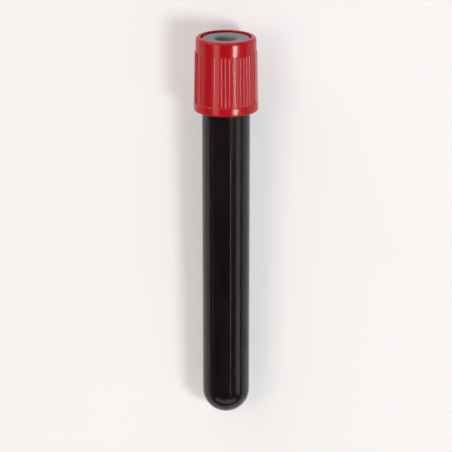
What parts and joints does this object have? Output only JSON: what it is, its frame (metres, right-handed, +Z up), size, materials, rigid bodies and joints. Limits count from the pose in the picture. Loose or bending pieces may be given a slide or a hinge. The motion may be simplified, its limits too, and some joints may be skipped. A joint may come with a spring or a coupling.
{
  "type": "blood collection tube",
  "caption": "Capped blood collection tube lying on its side: round-bottomed clear tube full of blood, closed by a dimpled rubber stopper in a ribbed pull-off plastic cap.",
  "frame": {"origin": "on the surface that the tube lies on, under the middle of its box", "axes": "+X towards the cap, +Z up; the tube's axis slopes up by 1.7 degrees towards the cap, because the cap is wider than the tube"},
  "size_m": [0.1054, 0.0172, 0.0174],
  "materials": {
    "clear_plastic": "clear, polished",
    "blood": "wet, near black through the tube's wall",
    "grey_rubber": "matte, fine grain",
    "red_plastic": "satin moulded"
  },
  "bodies": {
    "tube_body": {"tube": "clear_plastic", "blood": "blood"},
    "closure": {"cap": "red_plastic", "stopper": "grey_rubber"}
  },
  "joints": [
    {"name": "closure_pull", "type": "slide", "parent": "tube_body", "child": "closure", "axis": [0.9996, 0, 0.0296], "range_m": [0, 0.02]}
  ]
}
